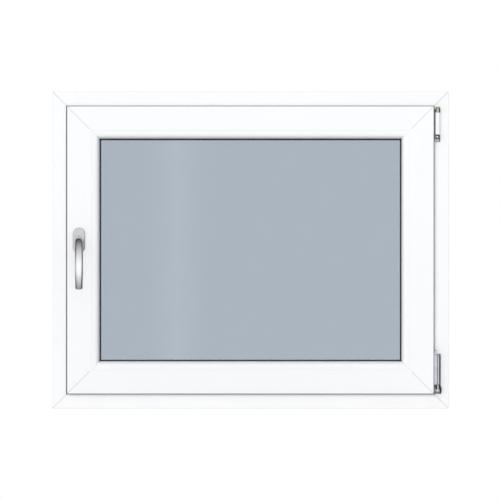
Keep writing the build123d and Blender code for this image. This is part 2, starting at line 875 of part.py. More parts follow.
def pivot_rest():
    """The frame's half of the bottom hinge: a plate, and a bowl with two feet that carries the sash.
    A window in the bowl's front shows the pin that stands in it."""
    bowl_top = sash_bottom + pivot_bowl_height
    half = Polyline(
        (0, sash_bottom),
        (pivot_bowl_foot_radius, sash_bottom),
        (pivot_bowl_radius, sash_bottom + pivot_bowl_bevel),
        (pivot_bowl_radius, bowl_top - pivot_bowl_bevel),
        (pivot_bowl_mouth_radius, bowl_top),
        (0, bowl_top),
        close=True,
    )
    bowl = Pos(hinge_x, hinge_y, 0) * revolve(Plane.XZ * make_face(half), Axis.Z)
    window_low = sash_bottom + pivot_window_low
    window = block(
        hinge_x - pivot_window_width / 2,
        hinge_x + pivot_window_width / 2,
        hinge_y - pivot_bowl_radius,
        frame_room - hinge_plate,
        window_low,
        window_low + pivot_window_height,
    )
    window = fillet(window.edges().filter_by(Axis.Y), edge_radius)
    arch = Pos(hinge_x, hinge_y - pivot_bowl_radius, sash_bottom) * Rot(-90, 0, 0) * Cylinder(
        pivot_arch_radius, pivot_bowl_radius, align=(Align.CENTER, Align.CENTER, Align.MIN)
    )
    plate = block(
        hinge_x - band_barrel_radius,
        hinge_x + band_barrel_radius,
        frame_room - hinge_plate,
        frame_room,
        sash_bottom,
        pivot_top,
    )
    socket = upright(hinge_bore_radius, sash_bottom + pivot_floor, bowl_top)
    in_frame = block(
        hinge_x - 2 * pivot_bowl_radius,
        hinge_x + 2 * pivot_bowl_radius,
        frame_room,
        frame_room + pivot_bowl_radius,
        0,
        pivot_top,
    )
    return bowl + plate - window - arch - socket - in_frame


def pivot_pin():
    """The steel pin between the bowl and the sash's barrel, which shows in the bowl's window."""
    return upright(hinge_pin_radius, sash_bottom + pivot_floor, pivot_top + band_barrel_height / 2)


def corner_band():
    """The sash's half of the bottom hinge: a rolled barrel, a web beside the flap and its plates."""
    barrel = upright(band_barrel_radius, pivot_top, band_top)
    rims = barrel.edges().filter_by(GeomType.CIRCLE).sort_by(Axis.Z)
    barrel = chamfer(rims[0], edge_radius)
    rims = barrel.edges().filter_by(GeomType.CIRCLE).sort_by(Axis.Z)
    barrel = fillet(rims[-1], band_barrel_round)
    top = band_top + band_leaf_extra
    low = pivot_top + part_gap
    web_top = band_top - band_barrel_round
    web_left = sash_edge_x + part_gap
    web_right = sash_edge_x + band_web_width
    tab_right = web_left + band_tab_width
    web_room = hinge_y - band_barrel_radius + band_web_setback
    tab = block(web_left, tab_right, web_room, leaf_out, low, top)
    tab = fillet(tab.edges().filter_by(Axis.Y).group_by(Axis.Z)[-1].sort_by(Axis.X)[-1], band_tab_round)
    web = tab + block(web_left, web_right, web_room, leaf_out, low, web_top)
    web = fillet(web.edges().filter_by(Axis.Z).group_by(Axis.Y)[0].sort_by(Axis.X)[0], band_web_round)
    bridge = block(web_left, hinge_x, hinge_y, leaf_out, low, web_top)
    leaf_top = top - band_tab_round
    leaf = block(sash_side_x, tab_right, leaf_room, leaf_out, low, leaf_top)
    plate_out = hardware_middle + hardware_step_width / 2 + edge_radius
    plate = block(sash_side_x, sash_side_x + hinge_leaf_plate, leaf_room, plate_out, low, leaf_top)
    bore = upright(hinge_bore_radius, pivot_top, pivot_top + band_barrel_height / 2 + part_gap)
    seam_x = hinge_x - band_seam_offset
    seam_y = hinge_y - band_barrel_radius
    seam_half = band_seam_width / 2
    vee = Polyline(
        (seam_x - seam_half, seam_y),
        (seam_x + seam_half, seam_y),
        (seam_x, seam_y + band_seam_depth),
        close=True,
    )
    seam = Pos(0, 0, pivot_top) * extrude(make_face(vee), amount=band_top - pivot_top)
    hole = Pos((web_left + tab_right) / 2, leaf_out, top - band_hole_drop) * Rot(90, 0, 0) * Cylinder(
        band_hole_radius, frame_depth, align=(Align.CENTER, Align.CENTER, Align.MIN)
    )
    return barrel + web + bridge + leaf + plate - bore - seam - hole


def hinge_notches():
    """The gaps cut in the sash's gasket where the two hinge leaves pass under the flap."""
    top_leaf = (top_knuckle_low - part_gap, window_height - frame_height)
    bottom_leaf = (pivot_top, band_top + band_leaf_extra)
    return [
        block(sash_edge_x - flap_overlap, sash_edge_x + hinge_offset, flap_back, frame_room, low, high)
        for low, high in (top_leaf, bottom_leaf)
    ]


def drain_slots():
    """The slots through the frame's outer wall, and those in the gutter's floor above them."""
    gutter_floor = frame_height - gutter_drop
    slots = []
    for x in drain_places:
        low, high = x - drain_slot_length / 2, x + drain_slot_length / 2
        slots.append(
            block(
                low,
                high,
                frame_out - outer_wall - part_gap,
                frame_out + part_gap,
                drain_height - drain_slot_height / 2,
                drain_height + drain_slot_height / 2,
            )
        )
        slots.append(
            block(
                low,
                high,
                outer_chamber_middle + inner_web,
                lip_room - edge_radius,
                gutter_floor - outer_wall - part_gap,
                gutter_floor + part_gap,
            )
        )
    return slots


def drain_caps():
    """The hooded caps that cover the drainage slots outdoors, open along their lower edge."""
    caps = []
    for x in drain_places:
        low, high = x - drain_cap_length / 2, x + drain_cap_length / 2
        z_low, z_high = drain_height - drain_cap_height / 2, drain_height + drain_cap_height / 2
        cap = block(low, high, frame_out, frame_out + drain_cap_depth, z_low, z_high)
        hood = cap.edges().filter_by(Axis.X).group_by(Axis.Y)[-1].sort_by(Axis.Z)[-1]
        cap = chamfer(hood, drain_cap_depth / 2)
        cap = fillet(cap.edges().filter_by(Axis.Y), edge_radius)
        hollow = block(
            low + drain_cap_wall,
            high - drain_cap_wall,
            frame_out,
            frame_out + drain_cap_depth - drain_cap_wall,
            z_low,
            drain_height + drain_slot_height / 2,
        )
        caps.append(cap - hollow)
    return caps


def save(name, shape):
    """Writes one node; a list of solids that don't touch becomes one file."""
    if isinstance(shape, list):
        shape = Compound(children=[solid for piece in shape for solid in piece.solids()])
    export_step(shape, f"parts/{name}.step")


def main():
    os.makedirs("parts", exist_ok=True)

    frame = four_bars(frame_section(), welded_faces=[(frame_room, 1), (frame_out, -1)])
    frame["bottom"] = frame["bottom"] - drain_slots()
    save("frame_sill", frame["bottom"])
    save("frame_head", frame["top"])
    save("frame_lock_jamb", frame["lock"])
    save("frame_hinge_jamb", frame["hinge"])

    sash = four_bars(sash_section(), welded_faces=[(sash_room, 1), (sash_out, -1)])
    sash["lock"] = sash["lock"] - handle_holes()
    save("sash_bottom_rail", sash["bottom"])
    save("sash_top_rail", sash["top"])
    save("sash_lock_stile", sash["lock"])
    save("sash_hinge_stile", sash["hinge"])

    beads = four_bars(bead_section(), joint=bead_joint)
    save("bead_bottom", beads["bottom"])
    save("bead_top", beads["top"])
    save("bead_lock_side", beads["lock"])
    save("bead_hinge_side", beads["hinge"])

    save("frame_stiffeners", stiffener_bars(steel_chamber_frame(), open_side=False))
    sash_steel = [bar - handle_holes()[0] for bar in stiffener_bars(steel_chamber_sash(), open_side=True)]
    save("sash_stiffeners", sash_steel)

    save("glass_outer_pane", pane(cavity_out, pane_out))
    save("glass_room_pane", pane(pane_room, cavity_room))
    save("glass_spacer", ring(spacer_section()))
    save("glass_edge_seal", ring(rectangle(cavity_room, cavity_out, glass_rise, spacer_rise)))
    save("setting_blocks", setting_blocks())

    save("gasket_frame", ring(frame_gasket_section()))
    sash_gasket = ring(sash_gasket_section(seal_show), sash_gasket_section(seal_show_lock))
    save("gasket_sash", sash_gasket - hinge_notches())
    save("gasket_glazing_room", ring(room_glazing_gasket_section()))
    save("gasket_glazing_outer", ring(outer_glazing_gasket_section()))

    save("handle_rosette", rosette_cover())
    save("handle_base", handle_base())
    save("handle_lever", lever())
    save("handle_spindle", spindle())

    save("top_hinge_bearing", stay_bearing())
    save("top_hinge_cover", stay_cover())
    save("top_hinge_arm", stay_arm())
    save("top_hinge_pin", stay_pin())
    save("bottom_hinge_rest", pivot_rest())
    save("bottom_hinge_pin", pivot_pin())
    save("bottom_hinge_band", corner_band())

    save("drain_caps", drain_caps())


main()
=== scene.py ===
# %% [markdown]
# A white PVC window, seen from the room. Its bars are extruded hard PVC, cut at 45 degrees and
# welded; a sash laps over the frame, snap-in beads hold an insulating glass unit, and a bow
# handle and two barrel hinges carry the movement. The measured model already holds every bar,
# gasket and pane, so this script gives those their finishes and makes only the pieces whose
# soft curves or small details are better as computed surfaces.

# %% Load the measured model
import json

import bmesh
import bpy
import numpy as np
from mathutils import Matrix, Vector

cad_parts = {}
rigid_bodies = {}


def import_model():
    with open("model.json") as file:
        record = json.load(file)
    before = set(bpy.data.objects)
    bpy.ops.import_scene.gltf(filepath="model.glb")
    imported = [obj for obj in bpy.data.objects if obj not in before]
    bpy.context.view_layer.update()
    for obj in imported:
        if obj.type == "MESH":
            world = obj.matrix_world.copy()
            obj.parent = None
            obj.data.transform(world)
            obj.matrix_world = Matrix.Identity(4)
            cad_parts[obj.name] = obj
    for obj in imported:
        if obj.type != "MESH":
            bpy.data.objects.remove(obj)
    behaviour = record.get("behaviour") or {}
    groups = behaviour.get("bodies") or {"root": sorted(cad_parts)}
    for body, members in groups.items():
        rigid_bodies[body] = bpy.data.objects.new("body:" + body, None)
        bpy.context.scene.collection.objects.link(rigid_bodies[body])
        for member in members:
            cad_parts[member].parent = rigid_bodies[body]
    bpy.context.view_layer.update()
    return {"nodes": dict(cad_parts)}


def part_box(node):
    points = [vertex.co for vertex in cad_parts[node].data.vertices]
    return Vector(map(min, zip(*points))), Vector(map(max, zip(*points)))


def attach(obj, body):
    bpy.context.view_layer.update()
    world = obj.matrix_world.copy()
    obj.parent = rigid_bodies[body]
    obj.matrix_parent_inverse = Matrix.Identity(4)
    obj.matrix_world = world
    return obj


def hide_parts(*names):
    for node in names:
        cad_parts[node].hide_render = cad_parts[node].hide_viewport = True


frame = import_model()
nodes = frame["nodes"]
MM = 0.001

# %% [markdown]
# The photograph is square on to the window, with no visible perspective: opposite edges of the
# frame are equally long and show none of their sides. An orthographic camera gives that. The
# window's middle lies at one pixel and 926 mm of sash over 366.7 pixels give the scale.

# %% Camera
PHOTO_PIXELS = 500
MM_PER_PIXEL = 2.525
MIDDLE_COLUMN = 250.5
MIDDLE_ROW = 250.0
CAMERA_DISTANCE = 4.0


def make_camera():
    """A level orthographic camera, placed so that the window's middle falls on its pixel."""
    data = bpy.data.cameras.new("camera")
    data.type = "ORTHO"
    data.ortho_scale = PHOTO_PIXELS * MM_PER_PIXEL * MM
    camera = bpy.data.objects.new("camera", data)
    bpy.context.scene.collection.objects.link(camera)
    low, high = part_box("frame_sill")
    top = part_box("frame_head")[1][2]
    x = (low[0] + high[0]) / 2 + (PHOTO_PIXELS / 2 - MIDDLE_COLUMN) * MM_PER_PIXEL * MM
    z = (low[2] + top) / 2 + (MIDDLE_ROW - PHOTO_PIXELS / 2) * MM_PER_PIXEL * MM
    camera.location = (x, -CAMERA_DISTANCE, z)
    camera.rotation_euler = (np.pi / 2, 0, 0)
    bpy.context.scene.camera = camera
    return camera


camera = make_camera()
bpy.context.scene.view_settings.view_transform = "Standard"
print("camera spans", round(camera.data.ortho_scale, 3), "m")

# %% [markdown]
# Colours are written as sRGB hex, the way a colour picker shows them, but the renderer adds
# and multiplies light, so each value is turned to linear light first. Materials are node
# graphs; one small function adds a node, sets its values and wires its inputs and output.


# %% Colour and node helpers
def linear(code, alpha=1.0):
    """Turns "#RRGGBB" to linear light: each channel is divided by 12.92 near black, and
    elsewhere raised to 2.4 after the sRGB offset."""
    value = np.array([int(code[i : i + 2], 16) for i in (1, 3, 5)]) / 255
    light = np.where(value <= 0.04045, value / 12.92, ((value + 0.055) / 1.055) ** 2.4)
    return (*light.tolist(), alpha)


def add(tree, kind, settings=None, to=None, **links):
    """Adds a node. Settings are its own properties, and "to" is an input that its output goes
    to. A link is an output of another node or a plain value, given by the input's name with
    spaces as underscores, or as in0, in1 by number."""
    node = tree.nodes.new(kind)
    for key, value in (settings or {}).items():
        setattr(node, key, value)
    for key, value in links.items():
        index = int(key[2:]) if key[:2] == "in" and key[2:].isdigit() else key.replace("_", " ")
        if isinstance(value, bpy.types.NodeSocket):
            tree.links.new(value, node.inputs[index])
        else:
            node.inputs[index].default_value = value
    output = next(socket for socket in node.outputs if socket.enabled)
    if to is not None:
        tree.links.new(output, to)
    return output


def new_material(name, color, roughness, metallic=0.0, **values):
    """A Principled material with its plain values set, and the node tree to add detail to."""
    material = bpy.data.materials.new(name)
    material.use_nodes = True
    tree = material.node_tree
    shader = next(n for n in tree.nodes if n.type == "BSDF_PRINCIPLED")
    shader.inputs["Base Color"].default_value = linear(color)
    shader.inputs["Roughness"].default_value = roughness
    shader.inputs["Metallic"].default_value = metallic
    for key, value in values.items():
        shader.inputs[key.replace("_", " ")].default_value = value
    return material, tree, shader


def grain(tree, size, detail=2.0, stretch=(1, 1, 1)):
    """An uneven pattern that is fixed to the piece, with waves of a given size in metres.
    Stretch draws it out along an axis where it is below one."""
    place = add(tree, "ShaderNodeTexCoord").node.outputs["Object"]
    drawn = add(tree, "ShaderNodeMapping", Vector=place, Scale=stretch)
    return add(tree, "ShaderNodeTexNoise", Vector=drawn, Scale=1 / size, Detail=detail)


# %% [markdown]
# Hard PVC comes out of an extrusion die with a satin gloss. What gives it away is not colour
# but a faint drawn texture: die lines a millimetre or two apart that run along the bar, so
# reflections ripple across it and stay clean along it. They could be modelled, but that takes
# thousands of faces for a depth of a few thousandths of a millimetre. A bump does as well: noise
# stretched along the bar, with one material for level bars and one for upright ones.
#
# At the corners the bars are welded. The bead that the weld squeezes out is cut off as a
# shallow groove, and the cut is duller than the extruded face. It is also painted slightly
# greyer, partly for dirt that lies in the cut and partly as painted shade of the groove. The cut
# follows the diagonal: the line where a point is as far from the upright edge as from the level
# one.

# %% Hard PVC
DIE_LINE = 1.6 * MM
DIE_LINE_DEPTH = 0.006 * MM
DIE_LINE_STRETCH = 0.004
CLOUD = 110 * MM
PVC_IOR = 1.54
PVC_ROUGHNESS = 0.25
DIE_LINE_ROUGHER = 0.08
WELD_ROUGHER = 0.3
PVC_WHITE = "#F4F5F6"
PVC_SHADE = "#F1F2F4"
WELD_GREY = "#DDDEE0"
WELD_HALF_WIDTH = 1.7 * MM
WELD_FULL_SHARE = 0.45
half_wide = (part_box("frame_sill")[1][0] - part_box("frame_sill")[0][0]) / 2
half_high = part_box("frame_head")[1][2] / 2
bead_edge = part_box("bead_bottom")[0][2]


def weld_line(tree):
    """1 on the corner diagonals and 0 beside them. How far a point is from the upright edge, less
    how far it is from the level one, is root two times its distance from the diagonal. The weld
    stops at the beads, which are cut and not welded."""
    place = add(tree, "ShaderNodeTexCoord").node.outputs["Object"]
    parts = add(tree, "ShaderNodeSeparateXYZ", Vector=place).node.outputs
    aside = add(tree, "ShaderNodeMath", {"operation": "ABSOLUTE"}, in0=parts["X"])
    from_side = add(tree, "ShaderNodeMath", {"operation": "SUBTRACT"}, in0=half_wide, in1=aside)
    level = add(tree, "ShaderNodeMath", {"operation": "SUBTRACT"}, in0=parts["Z"], in1=half_high)
    above = add(tree, "ShaderNodeMath", {"operation": "ABSOLUTE"}, in0=level)
    from_end = add(tree, "ShaderNodeMath", {"operation": "SUBTRACT"}, in0=half_high, in1=above)
    gap = add(tree, "ShaderNodeMath", {"operation": "SUBTRACT"}, in0=from_side, in1=from_end)
    away = add(tree, "ShaderNodeMath", {"operation": "ABSOLUTE"}, in0=gap)
    reach = WELD_HALF_WIDTH * np.sqrt(2)
    near = add(tree, "ShaderNodeMapRange", {"interpolation_type": "SMOOTHSTEP"}, Value=away,
               From_Min=reach * WELD_FULL_SHARE, From_Max=reach, To_Min=1.0, To_Max=0.0)
    nearer = add(tree, "ShaderNodeMath", {"operation": "MINIMUM"}, in0=from_side, in1=from_end)
    outside = add(tree, "ShaderNodeMath", {"operation": "LESS_THAN"}, in0=nearer, in1=bead_edge)
    return add(tree, "ShaderNodeMath", {"operation": "MULTIPLY"}, in0=near, in1=outside)


def extruded_pvc(name, along):
    """White hard PVC whose die lines run along one axis: "X" or "Z"."""
    material, tree, shader = new_material(name, PVC_WHITE, PVC_ROUGHNESS, IOR=PVC_IOR)
    stretch = [1.0, 1.0, 1.0]
    stretch["XYZ".index(along)] = DIE_LINE_STRETCH
    lines = grain(tree, DIE_LINE, 3.0, stretch)
    cloud = grain(tree, CLOUD, 3.0)
    weld = weld_line(tree)
    white = add(tree, "ShaderNodeMix", {"data_type": "RGBA"}, Factor=cloud,
                A=linear(PVC_WHITE), B=linear(PVC_SHADE))
    # The weld's grey is partly dirt in the cut and partly painted shade of the groove.
    add(tree, "ShaderNodeMix", {"data_type": "RGBA"}, shader.inputs["Base Color"],
        Factor=weld, A=white, B=linear(WELD_GREY))
    satin = add(tree, "ShaderNodeMath", {"operation": "MULTIPLY_ADD"},
                in0=lines, in1=DIE_LINE_ROUGHER, in2=PVC_ROUGHNESS)
    add(tree, "ShaderNodeMath", {"operation": "MULTIPLY_ADD"}, shader.inputs["Roughness"],
        in0=weld, in1=WELD_ROUGHER, in2=satin)
    add(tree, "ShaderNodeBump", None, shader.inputs["Normal"],
        Height=lines, Distance=DIE_LINE_DEPTH)
    return material


pvc_level = extruded_pvc("hard_pvc_level", "X")
pvc_upright = extruded_pvc("hard_pvc_upright", "Z")
print("welds run up to", round(bead_edge / MM, 1), "mm from the edge, where the beads start")

# %% [markdown]
# The other plastics are moulded, not extruded, so they have a fine even grain instead of
# lines: ABS for the hinge cover and drain caps, glass-filled nylon for the handle's base and
# the setting blocks. The real grain is a tenth of a millimetre or less, and is drawn at half a
# millimetre or more here, because a finer one wouldn't show. Gaskets are black EPDM rubber,
# which has a dull skin that bloom turns slightly blue-grey.


# %% Moulded plastics and rubber
PLASTIC_IOR = 1.5
RUBBER_BLACK = "#1E2126"
RUBBER_BLOOM = "#2F343B"


def moulded(name, color, roughness, size, depth):
    """Plastic with an even spark-eroded grain of a given size and depth."""
    material, tree, shader = new_material(name, color, roughness, IOR=PLASTIC_IOR)
    add(tree, "ShaderNodeBump", None, shader.inputs["Normal"], Height=grain(tree, size, 1.0),
        Distance=depth)
    return material


def epdm(name):
    """Extruded rubber: near black, dull, with a soft bloom in patches."""
    material, tree, shader = new_material(name, RUBBER_BLACK, 0.55, IOR=PLASTIC_IOR)
    add(tree, "ShaderNodeMix", {"data_type": "RGBA"}, shader.inputs["Base Color"],
        Factor=grain(tree, 8 * MM, 4.0), A=linear(RUBBER_BLACK), B=linear(RUBBER_BLOOM))
    add(tree, "ShaderNodeBump", None, shader.inputs["Normal"], Height=grain(tree, 0.6 * MM),
        Distance=0.02 * MM)
    return material


cover_abs = moulded("moulded_abs_white", "#F3F4F8", 0.35, 0.5 * MM, 0.004 * MM)
cap_abs = moulded("moulded_abs_cap", "#F2F3F4", 0.42, 0.7 * MM, 0.006 * MM)
nylon = moulded("glass_filled_nylon", "#33373C", 0.5, 0.9 * MM, 0.02 * MM)
rubber = epdm("epdm_rubber")
print("plastics and rubber:", cover_abs.name, cap_abs.name, nylon.name, rubber.name)

# %% [markdown]
# The metals. The lever and its rose are die cast and anodised in natural silver, the lever
# polished before that and the rose left finer and duller. Hinge steel is zinc plated; the
# stay arm has the yellow passivation that older gear is known by, which drifts between
# straw and olive. Their fine grain is drawn a few times coarser than the real one, so that it
# shows. Deep behind the sash's face the hinges get painted shade: a dull, less metallic brown
# that is mixed in by depth and darkens their recesses. A metal has no colour of its own but its
# tint, so what the eye reads is the room: the world below gives it something dark to reflect.


# %% Metals
# Painted shade for the hinges' recesses: a dull brown mixed in by depth behind the sash's face.
OLD_GREASE = "#4B463E"
REST_GREASE = (-44 * MM, -42 * MM)
ARM_GREASE = (-45 * MM, -41.5 * MM)


def anodised(name, color, roughness, mirror=1.0):
    """Anodised aluminium: a metal tint with a slightly uneven satin. Etching before the bath makes
    part of the surface scatter light like paper, which leaves less than all of it to mirror."""
    material, tree, shader = new_material(name, color, roughness, metallic=mirror)
    add(tree, "ShaderNodeMapRange", None, shader.inputs["Roughness"],
        Value=grain(tree, 6 * MM, 3.0), To_Min=roughness * 0.85, To_Max=roughness * 1.15)
    add(tree, "ShaderNodeBump", None, shader.inputs["Normal"], Height=grain(tree, 0.35 * MM),
        Distance=0.0015 * MM)
    return material


def plated_steel(name, first, second, roughness, cloud=11 * MM, grease=None):
    """Zinc plated steel: two tints in clouds, stretched past 0 and 1 so that most of it is one
    tint or the other, and a fine pickled grain. Shade depths are two depths along Y: the steel is
    plain in front of the first and has painted shade, a dull brown, behind the second."""
    material, tree, shader = new_material(name, first, roughness, metallic=1.0)
    patches = add(tree, "ShaderNodeMapRange",
                  Value=grain(tree, cloud, 4.0), To_Min=-0.6, To_Max=1.6)
    zinc = add(tree, "ShaderNodeMix", {"data_type": "RGBA"}, shader.inputs["Base Color"],
               Factor=patches, A=linear(first), B=linear(second))
    add(tree, "ShaderNodeBump", None, shader.inputs["Normal"], Height=grain(tree, 0.5 * MM, 3.0),
        Distance=0.004 * MM)
    # Painted shade: deeper along Y the steel turns to a less metallic dull brown, darkening the
    # recesses.
    if grease:
        place = add(tree, "ShaderNodeTexCoord").node.outputs["Object"]
        depth = add(tree, "ShaderNodeSeparateXYZ", Vector=place).node.outputs["Y"]
        smear = add(tree, "ShaderNodeMapRange", {"interpolation_type": "SMOOTHSTEP"}, Value=depth,
                    From_Min=grease[0], From_Max=grease[1])
        add(tree, "ShaderNodeMix", {"data_type": "RGBA"}, shader.inputs["Base Color"],
            Factor=smear, A=zinc, B=linear(OLD_GREASE))
        add(tree, "ShaderNodeMapRange", None, shader.inputs["Metallic"],
            Value=smear, To_Min=1.0, To_Max=0.0)
    return material


lever_silver = anodised("anodised_aluminium_polished", "#DADADD", 0.18)
rose_silver = anodised("anodised_aluminium_satin", "#BDBDBF", 0.5, 0.15)
hinge_zinc = plated_steel("zinc_plated_steel", "#BFC3C8", "#ABAFB5", 0.3)
# The pivot rest's pockets get painted shade by depth.
rest_zinc = plated_steel("zinc_plated_steel_greased", "#C4C7CA", "#ABAEB2", 0.3,
                         grease=REST_GREASE)
# The top bearing's steel is darker as painted shade: it lies in the slot behind the sash's edge and
# the cover.
bearing_zinc = plated_steel("black_passivated_steel", "#8B8E91", "#76797C", 0.38)
# The stay arm's web between the sash's edge and the knuckle gets painted shade by depth.
arm_zinc = plated_steel("yellow_passivated_steel", "#BDB7A8", "#A39A88", 0.33, 7 * MM,
                        ARM_GREASE)
galvanised = plated_steel("galvanised_steel", "#B4B8BA", "#8F9496", 0.5, 17 * MM)
screw_zinc = plated_steel("bright_zinc_screw", "#DCDEE0", "#CCCED1", 0.28, 3 * MM)
# Near black screw steel: painted shade of the hole in the bottom hinge's leaf.
dark_zinc = plated_steel("black_zinc_screw", "#4A4C50", "#3A3C40", 0.4, 3 * MM)
print("metals:", lever_silver.name, rose_silver.name, hinge_zinc.name, arm_zinc.name)

# %% [markdown]
# Float glass is clear, but a unit of two panes with a coated face is seen against light as
# a cool grey. Each pane takes the square root of what the whole unit lets through. Round the
# edge lie an aluminium spacer, whose inner face has a row of fine slits that let the drying
# agent breathe, and black sealant behind it. Cutting a thousand slits would weigh the mesh down
# for something that reads as a dotted line, so they are a pattern in the spacer's colour.

# %% Glass, spacer and sealant
UNIT_TINT = "#A3AEB9"
GLASS_IOR = 1.5
MILL_GREY = "#B9BBBD"
SLIT_DARK = "#2A2B2C"
SLIT_PITCH = 3.2 * MM
SLIT_SHARE = 0.45
SLIT_HALF_HEIGHT = 0.7 * MM
spacer_middle = (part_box("glass_spacer")[0][1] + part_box("glass_spacer")[1][1]) / 2


def float_glass(name):
    """Glass with the root of the unit's tint, because light goes through two panes."""
    material, tree, shader = new_material(name, UNIT_TINT, 0.0, IOR=GLASS_IOR,
                                          Transmission_Weight=1.0)
    whole = np.array(linear(UNIT_TINT)[:3])
    shader.inputs["Base Color"].default_value = (*(whole**0.5).tolist(), 1.0)
    return material


def perforated_spacer(name):
    """Mill aluminium with a row of dark slits along its middle. X and Z added give the distance
    along a bar whichever way it runs; its remainder over the pitch says where a slit is."""
    material, tree, shader = new_material(name, MILL_GREY, 0.4, metallic=1.0)
    place = add(tree, "ShaderNodeTexCoord").node.outputs["Object"]
    parts = add(tree, "ShaderNodeSeparateXYZ", Vector=place).node.outputs
    along = add(tree, "ShaderNodeMath", {"operation": "ADD"}, in0=parts["X"], in1=parts["Z"])
    step = add(tree, "ShaderNodeMath", {"operation": "FLOORED_MODULO"}, in0=along, in1=SLIT_PITCH)
    slit = add(tree, "ShaderNodeMath", {"operation": "LESS_THAN"},
               in0=step, in1=SLIT_PITCH * SLIT_SHARE)
    off = add(tree, "ShaderNodeMath", {"operation": "SUBTRACT"}, in0=parts["Y"], in1=spacer_middle)
    beside = add(tree, "ShaderNodeMath", {"operation": "ABSOLUTE"}, in0=off)
    row = add(tree, "ShaderNodeMath", {"operation": "LESS_THAN"}, in0=beside, in1=SLIT_HALF_HEIGHT)
    hole = add(tree, "ShaderNodeMath", {"operation": "MULTIPLY"}, in0=slit, in1=row)
    add(tree, "ShaderNodeMix", {"data_type": "RGBA"}, shader.inputs["Base Color"],
        Factor=hole, A=linear(MILL_GREY), B=linear(SLIT_DARK))
    return material


glass = float_glass("float_glass")
spacer_mill = perforated_spacer("mill_aluminium_perforated")
sealant = moulded("butyl_sealant", "#1B1C1E", 0.6, 1.5 * MM, 0.03 * MM)
print("spacer slits every", SLIT_PITCH / MM, "mm, at depth", round(spacer_middle / MM, 1), "mm")

# %% [markdown]
# Every node of the measured model keeps its shape and gets one of these finishes, put in the
# only slot of its mesh. The bars that run upright take the material whose lines run upright.

# %% Dress the measured nodes
finishes = {
    pvc_level: ["frame_sill", "frame_head", "sash_bottom_rail", "sash_top_rail",
                "bead_bottom", "bead_top"],
    pvc_upright: ["frame_lock_jamb", "frame_hinge_jamb", "sash_lock_stile", "sash_hinge_stile",
                  "bead_lock_side", "bead_hinge_side"],
    rubber: ["gasket_frame", "gasket_sash", "gasket_glazing_room", "gasket_glazing_outer"],
    glass: ["glass_outer_pane", "glass_room_pane"],
    sealant: ["glass_edge_seal"],
    spacer_mill: ["glass_spacer"],
    nylon: ["setting_blocks", "handle_base"],
    galvanised: ["frame_stiffeners", "sash_stiffeners", "handle_spindle"],
    rose_silver: ["handle_rosette"],
    lever_silver: ["handle_lever"],
    bearing_zinc: ["top_hinge_bearing"],
    hinge_zinc: ["top_hinge_pin", "bottom_hinge_band"],
    screw_zinc: ["bottom_hinge_pin"],
    rest_zinc: ["bottom_hinge_rest"],
    arm_zinc: ["top_hinge_arm"],
    cover_abs: ["top_hinge_cover"],
    cap_abs: ["drain_caps"],
}
for finish, names in finishes.items():
    for name in names:
        nodes[name].data.materials.clear()
        nodes[name].data.materials.append(finish)
print("dressed", sum(len(names) for names in finishes.values()), "of", len(nodes))

# %% [markdown]
# The pieces made here, the lever and four screws, are all of one kind: rings of points along a
# line. A bevelled curve or a lathe could make some of them, but those keep one section or one
# axis. Rings worked out as arrays can change shape on the way, and one function turns any of
# them into a closed surface.

# %% Points to closed surface
CREASE = 0.6


def closed_skin(name, rings, finish, body):
    """Joins rings of points to a closed surface: each point to the next in its ring and to its
    fellow in the next ring, with a flat face at both ends. Faces are turned to point outwards,
    and an edge sharper than CREASE stays crisp."""
    count, around = rings.shape[:2]
    here = np.arange(count * around).reshape(count, around)
    beside = np.roll(here, -1, axis=1)
    sides = np.stack([here[:-1], beside[:-1], beside[1:], here[1:]], axis=-1).reshape(-1, 4)
    data = bpy.data.meshes.new(name)
    ends = [here[0].tolist(), here[-1].tolist()]
    data.from_pydata(rings.reshape(-1, 3).tolist(), [], sides.tolist() + ends)
    shape = bmesh.new()
    shape.from_mesh(data)
    bmesh.ops.recalc_face_normals(shape, faces=shape.faces)
    shape.to_mesh(data)
    shape.free()
    data.shade_smooth()
    data.set_sharp_from_angle(angle=CREASE)
    data.materials.append(finish)
    piece = bpy.data.objects.new(name, data)
    bpy.context.scene.collection.objects.link(piece)
    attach(piece, body)
    return piece


# %% [markdown]
# A handle's grip isn't an ellipse in section. It is flattened where the palm lies, with fuller
# corners, which is what gives the broad even highlight down its front and the thin dark line
# along its side. A superellipse has one number for that: at 2 it is an ellipse, and higher
# numbers fill the corners. The section is carried along the lever's path: straight out of the
# rose, round a bend, and down a long arc that leans back towards the sash, where the end is
# rounded off. The number, the width and the thickness change along it.

# %% Lever
NECK_RADIUS = 10.8 * MM
BEND_RADIUS = 17.0 * MM
BEND_TURN = np.radians(62)
TIP_LEAN = np.radians(18)
LEVER_LENGTH = 123.6 * MM
PROJECTION = 49.0 * MM
GRIP_WIDTH, GRIP_THICKNESS = 20.6 * MM, 13.5 * MM
TIP_WIDTH, TIP_THICKNESS = 18.4 * MM, 11.0 * MM
TIP_ROUND = 3.5 * MM
GRIP_FULLNESS, TIP_FULLNESS = 2.8, 2.1
NECK_START = 0.3 * MM
NECK_STATIONS, BEND_STATIONS, GRIP_STATIONS, TIP_STATIONS = 6, 28, 90, 12
POINTS_AROUND = 112
rose_low, rose_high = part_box("handle_rosette")
handle_x = (rose_low[0] + rose_high[0]) / 2
handle_z = (rose_low[2] + rose_high[2]) / 2
sash_face = rose_high[1]


